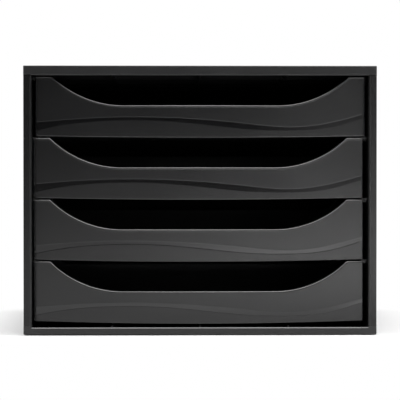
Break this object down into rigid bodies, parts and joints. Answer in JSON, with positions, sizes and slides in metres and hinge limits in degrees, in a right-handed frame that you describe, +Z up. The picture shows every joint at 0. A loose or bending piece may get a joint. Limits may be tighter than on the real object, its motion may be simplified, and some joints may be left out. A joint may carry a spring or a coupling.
{
  "type": "letter tray stack with drawers",
  "caption": "Landscape desktop letter tray cabinet in black plastic: a panelled housing with ledges that carry curved-front drawers, each with a wide finger cut-out and a sunk wave ribbon.",
  "frame": {"origin": "centre of the footprint, on the surface that the feet stand on", "axes": "+X right across the drawer fronts, +Y to the back, +Z up; the drawers open towards -Y"},
  "size_m": [0.355, 0.27, 0.271],
  "materials": {
    "housing_plastic": "black polystyrene, satin with a fine grain",
    "runner_plastic": "black polystyrene, satin",
    "drawer_plastic": "black polystyrene, satin, glossier in the wave ribbon",
    "foot_rubber": "matt",
    "screw_steel": "zinc plated"
  },
  "bodies": {
    "housing": {"top_panel": "housing_plastic", "bottom_panel": "housing_plastic", "left_side_panel": "housing_plastic", "right_side_panel": "housing_plastic", "left_runner_plate": "runner_plastic", "right_runner_plate": "runner_plastic", "back_panel": "housing_plastic", "foot_front_left": "foot_rubber", "foot_front_right": "foot_rubber", "foot_back_left": "foot_rubber", "foot_back_right": "foot_rubber", "bottom_screws": "screw_steel"},
    "drawer_1": {"drawer_1": "drawer_plastic"},
    "drawer_2": {"drawer_2": "drawer_plastic"},
    "drawer_3": {"drawer_3": "drawer_plastic"},
    "drawer_4": {"drawer_4": "drawer_plastic"}
  },
  "joints": [
    {"name": "drawer_1_slide", "type": "slide", "parent": "housing", "child": "drawer_1", "axis": [0, -1, 0], "range_m": [0, 0.2]},
    {"name": "drawer_2_slide", "type": "slide", "parent": "housing", "child": "drawer_2", "axis": [0, -1, 0], "range_m": [0, 0.2]},
    {"name": "drawer_3_slide", "type": "slide", "parent": "housing", "child": "drawer_3", "axis": [0, -1, 0], "range_m": [0, 0.2]},
    {"name": "drawer_4_slide", "type": "slide", "parent": "housing", "child": "drawer_4", "axis": [0, -1, 0], "range_m": [0, 0.2]}
  ]
}
